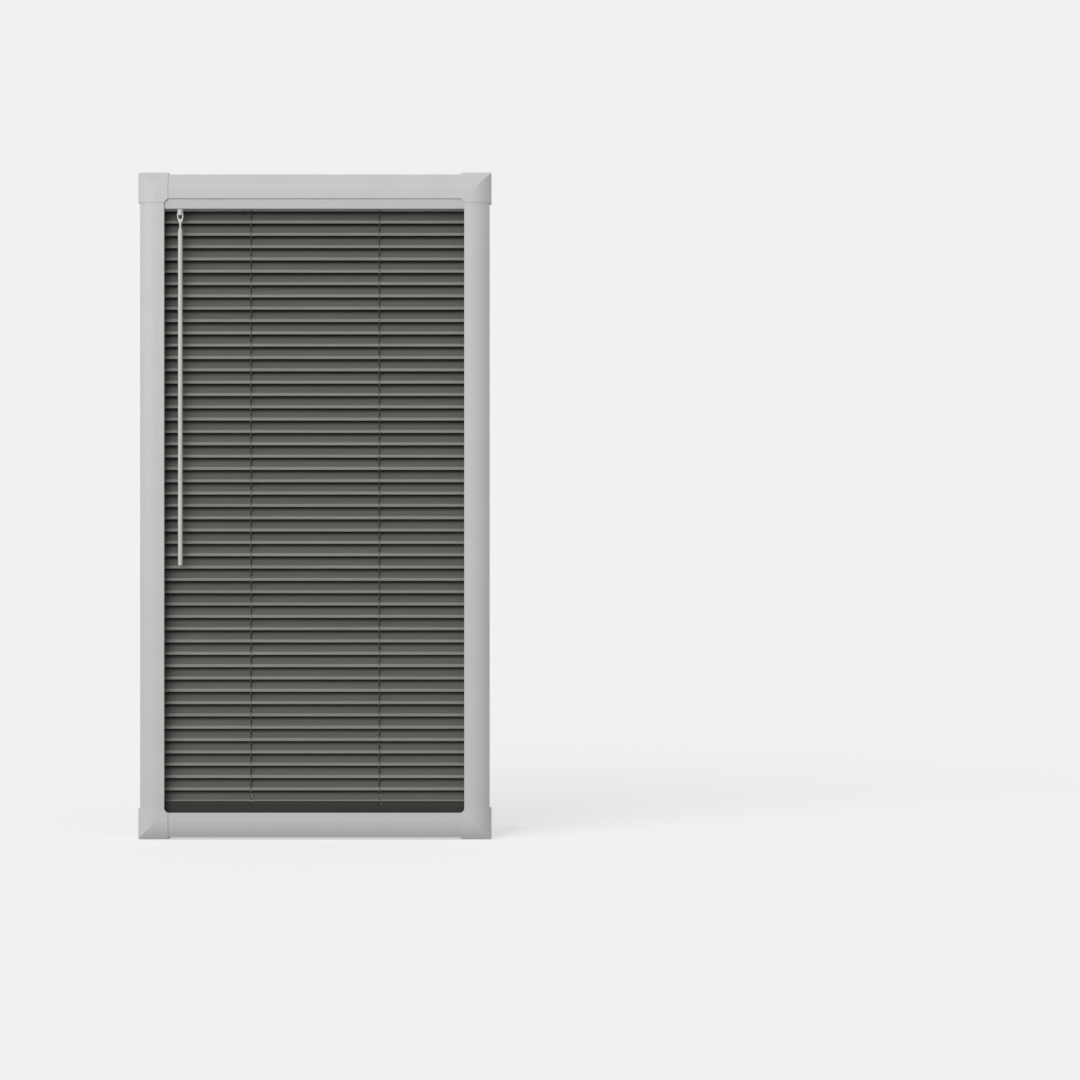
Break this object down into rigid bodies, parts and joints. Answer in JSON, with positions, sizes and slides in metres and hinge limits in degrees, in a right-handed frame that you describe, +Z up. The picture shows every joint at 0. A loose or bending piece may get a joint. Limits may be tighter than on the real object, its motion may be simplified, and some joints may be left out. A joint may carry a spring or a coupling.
{
  "type": "framed venetian blind with wooden slats",
  "caption": "Tilt-only venetian blind with wooden slats on ladder cords, in its own frame that clips onto a window sash, with a headrail, tilter, wand and grooved bottom rail.",
  "frame": {"origin": "centre of the top profile's back face, which seats on the window sash", "axes": "+X to the right as seen from the room, +Y towards the window, +Z up"},
  "size_m": [0.6144, 0.044, 1.1605],
  "materials": {
    "frame_pvc": "light grey PVC extrusion, satin",
    "cover_pvc": "light grey moulded plastic, satin",
    "headrail_steel": "light grey stove enamel on folded steel",
    "mechanism_plastic": "moulded acetal, matt",
    "rod_steel": "drawn steel bar",
    "wand_plastic": "light grey acrylic",
    "slat_wood": "dark grey-brown stain, satin lacquer",
    "rail_wood": "dark grey-brown stain, satin lacquer",
    "cord": "braided polyester, grey"
  },
  "bodies": {
    "frame": {"frame_profiles": "frame_pvc", "corner_covers": "cover_pvc", "headrail": "headrail_steel", "rod_cradles": "mechanism_plastic", "tilter_housing": "mechanism_plastic", "bottom_rail": "rail_wood", "guide_cords": "cord"},
    "tilter_stem": {"tilter_stem": "mechanism_plastic"},
    "tilt_rod": {"tilt_rod": "rod_steel"},
    "wand": {"wand": "wand_plastic"},
    "slat_01": {"slat_01": "slat_wood"},
    "slat_02": {"slat_02": "slat_wood"},
    "slat_03": {"slat_03": "slat_wood"},
    "slat_04": {"slat_04": "slat_wood"},
    "slat_05": {"slat_05": "slat_wood"},
    "slat_06": {"slat_06": "slat_wood"},
    "slat_07": {"slat_07": "slat_wood"},
    "slat_08": {"slat_08": "slat_wood"},
    "slat_09": {"slat_09": "slat_wood"},
    "slat_10": {"slat_10": "slat_wood"},
    "slat_11": {"slat_11": "slat_wood"},
    "slat_12": {"slat_12": "slat_wood"},
    "slat_13": {"slat_13": "slat_wood"},
    "slat_14": {"slat_14": "slat_wood"},
    "slat_15": {"slat_15": "slat_wood"},
    "slat_16": {"slat_16": "slat_wood"},
    "slat_17": {"slat_17": "slat_wood"},
    "slat_18": {"slat_18": "slat_wood"},
    "slat_19": {"slat_19": "slat_wood"},
    "slat_20": {"slat_20": "slat_wood"},
    "slat_21": {"slat_21": "slat_wood"},
    "slat_22": {"slat_22": "slat_wood"},
    "slat_23": {"slat_23": "slat_wood"},
    "slat_24": {"slat_24": "slat_wood"},
    "slat_25": {"slat_25": "slat_wood"},
    "slat_26": {"slat_26": "slat_wood"},
    "slat_27": {"slat_27": "slat_wood"},
    "slat_28": {"slat_28": "slat_wood"},
    "slat_29": {"slat_29": "slat_wood"},
    "slat_30": {"slat_30": "slat_wood"},
    "slat_31": {"slat_31": "slat_wood"},
    "slat_32": {"slat_32": "slat_wood"},
    "slat_33": {"slat_33": "slat_wood"},
    "slat_34": {"slat_34": "slat_wood"},
    "slat_35": {"slat_35": "slat_wood"},
    "slat_36": {"slat_36": "slat_wood"},
    "slat_37": {"slat_37": "slat_wood"},
    "slat_38": {"slat_38": "slat_wood"},
    "slat_39": {"slat_39": "slat_wood"},
    "slat_40": {"slat_40": "slat_wood"},
    "slat_41": {"slat_41": "slat_wood"},
    "slat_42": {"slat_42": "slat_wood"},
    "slat_43": {"slat_43": "slat_wood"},
    "slat_44": {"slat_44": "slat_wood"},
    "slat_45": {"slat_45": "slat_wood"},
    "slat_46": {"slat_46": "slat_wood"},
    "slat_47": {"slat_47": "slat_wood"},
    "slat_48": {"slat_48": "slat_wood"},
    "ladder_front": {"ladder_front_cords": "cord"},
    "ladder_back": {"ladder_back_cords": "cord"}
  },
  "joints": [
    {"name": "stem_turn", "type": "hinge", "parent": "frame", "child": "tilter_stem", "pos_m": [-0.2335, -0.0362, -0.0525], "axis": [0, 0, 1], "range_deg": [-3600, 0]},
    {"name": "rod_turn", "type": "hinge", "parent": "frame", "child": "tilt_rod", "pos_m": [0, -0.0175, -0.0303], "axis": [1, 0, 0], "range_deg": [-300, 0]},
    {"name": "wand_swing", "type": "hinge", "parent": "tilter_stem", "child": "wand", "pos_m": [-0.2335, -0.0362, -0.0525], "axis": [0, 1, 0], "range_deg": [-54, 2]},
    {"name": "slat_01_tilt", "type": "hinge", "parent": "frame", "child": "slat_01", "pos_m": [0, -0.0175, -0.05737], "axis": [1, 0, 0], "range_deg": [-120, 0]},
    {"name": "slat_02_tilt", "type": "hinge", "parent": "frame", "child": "slat_02", "pos_m": [0, -0.0175, -0.07887], "axis": [1, 0, 0], "range_deg": [-120, 0]},
    {"name": "slat_03_tilt", "type": "hinge", "parent": "frame", "child": "slat_03", "pos_m": [0, -0.0175, -0.10037], "axis": [1, 0, 0], "range_deg": [-120, 0]},
    {"name": "slat_04_tilt", "type": "hinge", "parent": "frame", "child": "slat_04", "pos_m": [0, -0.0175, -0.12187], "axis": [1, 0, 0], "range_deg": [-120, 0]},
    {"name": "slat_05_tilt", "type": "hinge", "parent": "frame", "child": "slat_05", "pos_m": [0, -0.0175, -0.14337], "axis": [1, 0, 0], "range_deg": [-120, 0]},
    {"name": "slat_06_tilt", "type": "hinge", "parent": "frame", "child": "slat_06", "pos_m": [0, -0.0175, -0.16487], "axis": [1, 0, 0], "range_deg": [-120, 0]},
    {"name": "slat_07_tilt", "type": "hinge", "parent": "frame", "child": "slat_07", "pos_m": [0, -0.0175, -0.18637], "axis": [1, 0, 0], "range_deg": [-120, 0]},
    {"name": "slat_08_tilt", "type": "hinge", "parent": "frame", "child": "slat_08", "pos_m": [0, -0.0175, -0.20787], "axis": [1, 0, 0], "range_deg": [-120, 0]},
    {"name": "slat_09_tilt", "type": "hinge", "parent": "frame", "child": "slat_09", "pos_m": [0, -0.0175, -0.22937], "axis": [1, 0, 0], "range_deg": [-120, 0]},
    {"name": "slat_10_tilt", "type": "hinge", "parent": "frame", "child": "slat_10", "pos_m": [0, -0.0175, -0.25087], "axis": [1, 0, 0], "range_deg": [-120, 0]},
    {"name": "slat_11_tilt", "type": "hinge", "parent": "frame", "child": "slat_11", "pos_m": [0, -0.0175, -0.27237], "axis": [1, 0, 0], "range_deg": [-120, 0]},
    {"name": "slat_12_tilt", "type": "hinge", "parent": "frame", "child": "slat_12", "pos_m": [0, -0.0175, -0.29387], "axis": [1, 0, 0], "range_deg": [-120, 0]},
    {"name": "slat_13_tilt", "type": "hinge", "parent": "frame", "child": "slat_13", "pos_m": [0, -0.0175, -0.31537], "axis": [1, 0, 0], "range_deg": [-120, 0]},
    {"name": "slat_14_tilt", "type": "hinge", "parent": "frame", "child": "slat_14", "pos_m": [0, -0.0175, -0.33687], "axis": [1, 0, 0], "range_deg": [-120, 0]},
    {"name": "slat_15_tilt", "type": "hinge", "parent": "frame", "child": "slat_15", "pos_m": [0, -0.0175, -0.35837], "axis": [1, 0, 0], "range_deg": [-120, 0]},
    {"name": "slat_16_tilt", "type": "hinge", "parent": "frame", "child": "slat_16", "pos_m": [0, -0.0175, -0.37987], "axis": [1, 0, 0], "range_deg": [-120, 0]},
    {"name": "slat_17_tilt", "type": "hinge", "parent": "frame", "child": "slat_17", "pos_m": [0, -0.0175, -0.40137], "axis": [1, 0, 0], "range_deg": [-120, 0]},
    {"name": "slat_18_tilt", "type": "hinge", "parent": "frame", "child": "slat_18", "pos_m": [0, -0.0175, -0.42287], "axis": [1, 0, 0], "range_deg": [-120, 0]},
    {"name": "slat_19_tilt", "type": "hinge", "parent": "frame", "child": "slat_19", "pos_m": [0, -0.0175, -0.44437], "axis": [1, 0, 0], "range_deg": [-120, 0]},
    {"name": "slat_20_tilt", "type": "hinge", "parent": "frame", "child": "slat_20", "pos_m": [0, -0.0175, -0.46587], "axis": [1, 0, 0], "range_deg": [-120, 0]},
    {"name": "slat_21_tilt", "type": "hinge", "parent": "frame", "child": "slat_21", "pos_m": [0, -0.0175, -0.48737], "axis": [1, 0, 0], "range_deg": [-120, 0]},
    {"name": "slat_22_tilt", "type": "hinge", "parent": "frame", "child": "slat_22", "pos_m": [0, -0.0175, -0.50887], "axis": [1, 0, 0], "range_deg": [-120, 0]},
    {"name": "slat_23_tilt", "type": "hinge", "parent": "frame", "child": "slat_23", "pos_m": [0, -0.0175, -0.53037], "axis": [1, 0, 0], "range_deg": [-120, 0]},
    {"name": "slat_24_tilt", "type": "hinge", "parent": "frame", "child": "slat_24", "pos_m": [0, -0.0175, -0.55187], "axis": [1, 0, 0], "range_deg": [-120, 0]},
    {"name": "slat_25_tilt", "type": "hinge", "parent": "frame", "child": "slat_25", "pos_m": [0, -0.0175, -0.57337], "axis": [1, 0, 0], "range_deg": [-120, 0]},
    {"name": "slat_26_tilt", "type": "hinge", "parent": "frame", "child": "slat_26", "pos_m": [0, -0.0175, -0.59487], "axis": [1, 0, 0], "range_deg": [-120, 0]},
    {"name": "slat_27_tilt", "type": "hinge", "parent": "frame", "child": "slat_27", "pos_m": [0, -0.0175, -0.61637], "axis": [1, 0, 0], "range_deg": [-120, 0]},
    {"name": "slat_28_tilt", "type": "hinge", "parent": "frame", "child": "slat_28", "pos_m": [0, -0.0175, -0.63787], "axis": [1, 0, 0], "range_deg": [-120, 0]},
    {"name": "slat_29_tilt", "type": "hinge", "parent": "frame", "child": "slat_29", "pos_m": [0, -0.0175, -0.65937], "axis": [1, 0, 0], "range_deg": [-120, 0]},
    {"name": "slat_30_tilt", "type": "hinge", "parent": "frame", "child": "slat_30", "pos_m": [0, -0.0175, -0.68087], "axis": [1, 0, 0], "range_deg": [-120, 0]},
    {"name": "slat_31_tilt", "type": "hinge", "parent": "frame", "child": "slat_31", "pos_m": [0, -0.0175, -0.70237], "axis": [1, 0, 0], "range_deg": [-120, 0]},
    {"name": "slat_32_tilt", "type": "hinge", "parent": "frame", "child": "slat_32", "pos_m": [0, -0.0175, -0.72387], "axis": [1, 0, 0], "range_deg": [-120, 0]},
    {"name": "slat_33_tilt", "type": "hinge", "parent": "frame", "child": "slat_33", "pos_m": [0, -0.0175, -0.74537], "axis": [1, 0, 0], "range_deg": [-120, 0]},
    {"name": "slat_34_tilt", "type": "hinge", "parent": "frame", "child": "slat_34", "pos_m": [0, -0.0175, -0.76687], "axis": [1, 0, 0], "range_deg": [-120, 0]},
    {"name": "slat_35_tilt", "type": "hinge", "parent": "frame", "child": "slat_35", "pos_m": [0, -0.0175, -0.78837], "axis": [1, 0, 0], "range_deg": [-120, 0]},
    {"name": "slat_36_tilt", "type": "hinge", "parent": "frame", "child": "slat_36", "pos_m": [0, -0.0175, -0.80987], "axis": [1, 0, 0], "range_deg": [-120, 0]},
    {"name": "slat_37_tilt", "type": "hinge", "parent": "frame", "child": "slat_37", "pos_m": [0, -0.0175, -0.83137], "axis": [1, 0, 0], "range_deg": [-120, 0]},
    {"name": "slat_38_tilt", "type": "hinge", "parent": "frame", "child": "slat_38", "pos_m": [0, -0.0175, -0.85287], "axis": [1, 0, 0], "range_deg": [-120, 0]},
    {"name": "slat_39_tilt", "type": "hinge", "parent": "frame", "child": "slat_39", "pos_m": [0, -0.0175, -0.87437], "axis": [1, 0, 0], "range_deg": [-120, 0]},
    {"name": "slat_40_tilt", "type": "hinge", "parent": "frame", "child": "slat_40", "pos_m": [0, -0.0175, -0.89587], "axis": [1, 0, 0], "range_deg": [-120, 0]},
    {"name": "slat_41_tilt", "type": "hinge", "parent": "frame", "child": "slat_41", "pos_m": [0, -0.0175, -0.91737], "axis": [1, 0, 0], "range_deg": [-120, 0]},
    {"name": "slat_42_tilt", "type": "hinge", "parent": "frame", "child": "slat_42", "pos_m": [0, -0.0175, -0.93887], "axis": [1, 0, 0], "range_deg": [-120, 0]},
    {"name": "slat_43_tilt", "type": "hinge", "parent": "frame", "child": "slat_43", "pos_m": [0, -0.0175, -0.96037], "axis": [1, 0, 0], "range_deg": [-120, 0]},
    {"name": "slat_44_tilt", "type": "hinge", "parent": "frame", "child": "slat_44", "pos_m": [0, -0.0175, -0.98187], "axis": [1, 0, 0], "range_deg": [-120, 0]},
    {"name": "slat_45_tilt", "type": "hinge", "parent": "frame", "child": "slat_45", "pos_m": [0, -0.0175, -1.00337], "axis": [1, 0, 0], "range_deg": [-120, 0]},
    {"name": "slat_46_tilt", "type": "hinge", "parent": "frame", "child": "slat_46", "pos_m": [0, -0.0175, -1.02487], "axis": [1, 0, 0], "range_deg": [-120, 0]},
    {"name": "slat_47_tilt", "type": "hinge", "parent": "frame", "child": "slat_47", "pos_m": [0, -0.0175, -1.04637], "axis": [1, 0, 0], "range_deg": [-120, 0]},
    {"name": "slat_48_tilt", "type": "hinge", "parent": "frame", "child": "slat_48", "pos_m": [0, -0.0175, -1.06787], "axis": [1, 0, 0], "range_deg": [-120, 0]},
    {"name": "ladder_front_hang", "type": "hinge", "parent": "slat_01", "child": "ladder_front", "pos_m": [0, -0.02478, -0.07106], "axis": [1, 0, 0], "range_deg": [0, 120]},
    {"name": "ladder_back_hang", "type": "hinge", "parent": "slat_01", "child": "ladder_back", "pos_m": [0, -0.01022, -0.04368], "axis": [1, 0, 0], "range_deg": [0, 120]}
  ],
  "couplings": [
    {"joint": "rod_turn", "follows": "stem_turn", "ratio": 0.083333},
    {"joint": "slat_01_tilt", "follows": "stem_turn", "ratio": 0.033333},
    {"joint": "slat_02_tilt", "follows": "stem_turn", "ratio": 0.033333},
    {"joint": "slat_03_tilt", "follows": "stem_turn", "ratio": 0.033333},
    {"joint": "slat_04_tilt", "follows": "stem_turn", "ratio": 0.033333},
    {"joint": "slat_05_tilt", "follows": "stem_turn", "ratio": 0.033333},
    {"joint": "slat_06_tilt", "follows": "stem_turn", "ratio": 0.033333},
    {"joint": "slat_07_tilt", "follows": "stem_turn", "ratio": 0.033333},
    {"joint": "slat_08_tilt", "follows": "stem_turn", "ratio": 0.033333},
    {"joint": "slat_09_tilt", "follows": "stem_turn", "ratio": 0.033333},
    {"joint": "slat_10_tilt", "follows": "stem_turn", "ratio": 0.033333},
    {"joint": "slat_11_tilt", "follows": "stem_turn", "ratio": 0.033333},
    {"joint": "slat_12_tilt", "follows": "stem_turn", "ratio": 0.033333},
    {"joint": "slat_13_tilt", "follows": "stem_turn", "ratio": 0.033333},
    {"joint": "slat_14_tilt", "follows": "stem_turn", "ratio": 0.033333},
    {"joint": "slat_15_tilt", "follows": "stem_turn", "ratio": 0.033333},
    {"joint": "slat_16_tilt", "follows": "stem_turn", "ratio": 0.033333},
    {"joint": "slat_17_tilt", "follows": "stem_turn", "ratio": 0.033333},
    {"joint": "slat_18_tilt", "follows": "stem_turn", "ratio": 0.033333},
    {"joint": "slat_19_tilt", "follows": "stem_turn", "ratio": 0.033333},
    {"joint": "slat_20_tilt", "follows": "stem_turn", "ratio": 0.033333},
    {"joint": "slat_21_tilt", "follows": "stem_turn", "ratio": 0.033333},
    {"joint": "slat_22_tilt", "follows": "stem_turn", "ratio": 0.033333},
    {"joint": "slat_23_tilt", "follows": "stem_turn", "ratio": 0.033333},
    {"joint": "slat_24_tilt", "follows": "stem_turn", "ratio": 0.033333},
    {"joint": "slat_25_tilt", "follows": "stem_turn", "ratio": 0.033333},
    {"joint": "slat_26_tilt", "follows": "stem_turn", "ratio": 0.033333},
    {"joint": "slat_27_tilt", "follows": "stem_turn", "ratio": 0.033333},
    {"joint": "slat_28_tilt", "follows": "stem_turn", "ratio": 0.033333},
    {"joint": "slat_29_tilt", "follows": "stem_turn", "ratio": 0.033333},
    {"joint": "slat_30_tilt", "follows": "stem_turn", "ratio": 0.033333},
    {"joint": "slat_31_tilt", "follows": "stem_turn", "ratio": 0.033333},
    {"joint": "slat_32_tilt", "follows": "stem_turn", "ratio": 0.033333},
    {"joint": "slat_33_tilt", "follows": "stem_turn", "ratio": 0.033333},
    {"joint": "slat_34_tilt", "follows": "stem_turn", "ratio": 0.033333},
    {"joint": "slat_35_tilt", "follows": "stem_turn", "ratio": 0.033333},
    {"joint": "slat_36_tilt", "follows": "stem_turn", "ratio": 0.033333},
    {"joint": "slat_37_tilt", "follows": "stem_turn", "ratio": 0.033333},
    {"joint": "slat_38_tilt", "follows": "stem_turn", "ratio": 0.033333},
    {"joint": "slat_39_tilt", "follows": "stem_turn", "ratio": 0.033333},
    {"joint": "slat_40_tilt", "follows": "stem_turn", "ratio": 0.033333},
    {"joint": "slat_41_tilt", "follows": "stem_turn", "ratio": 0.033333},
    {"joint": "slat_42_tilt", "follows": "stem_turn", "ratio": 0.033333},
    {"joint": "slat_43_tilt", "follows": "stem_turn", "ratio": 0.033333},
    {"joint": "slat_44_tilt", "follows": "stem_turn", "ratio": 0.033333},
    {"joint": "slat_45_tilt", "follows": "stem_turn", "ratio": 0.033333},
    {"joint": "slat_46_tilt", "follows": "stem_turn", "ratio": 0.033333},
    {"joint": "slat_47_tilt", "follows": "stem_turn", "ratio": 0.033333},
    {"joint": "slat_48_tilt", "follows": "stem_turn", "ratio": 0.033333},
    {"joint": "ladder_front_hang", "follows": "stem_turn", "ratio": -0.033333},
    {"joint": "ladder_back_hang", "follows": "stem_turn", "ratio": -0.033333}
  ]
}
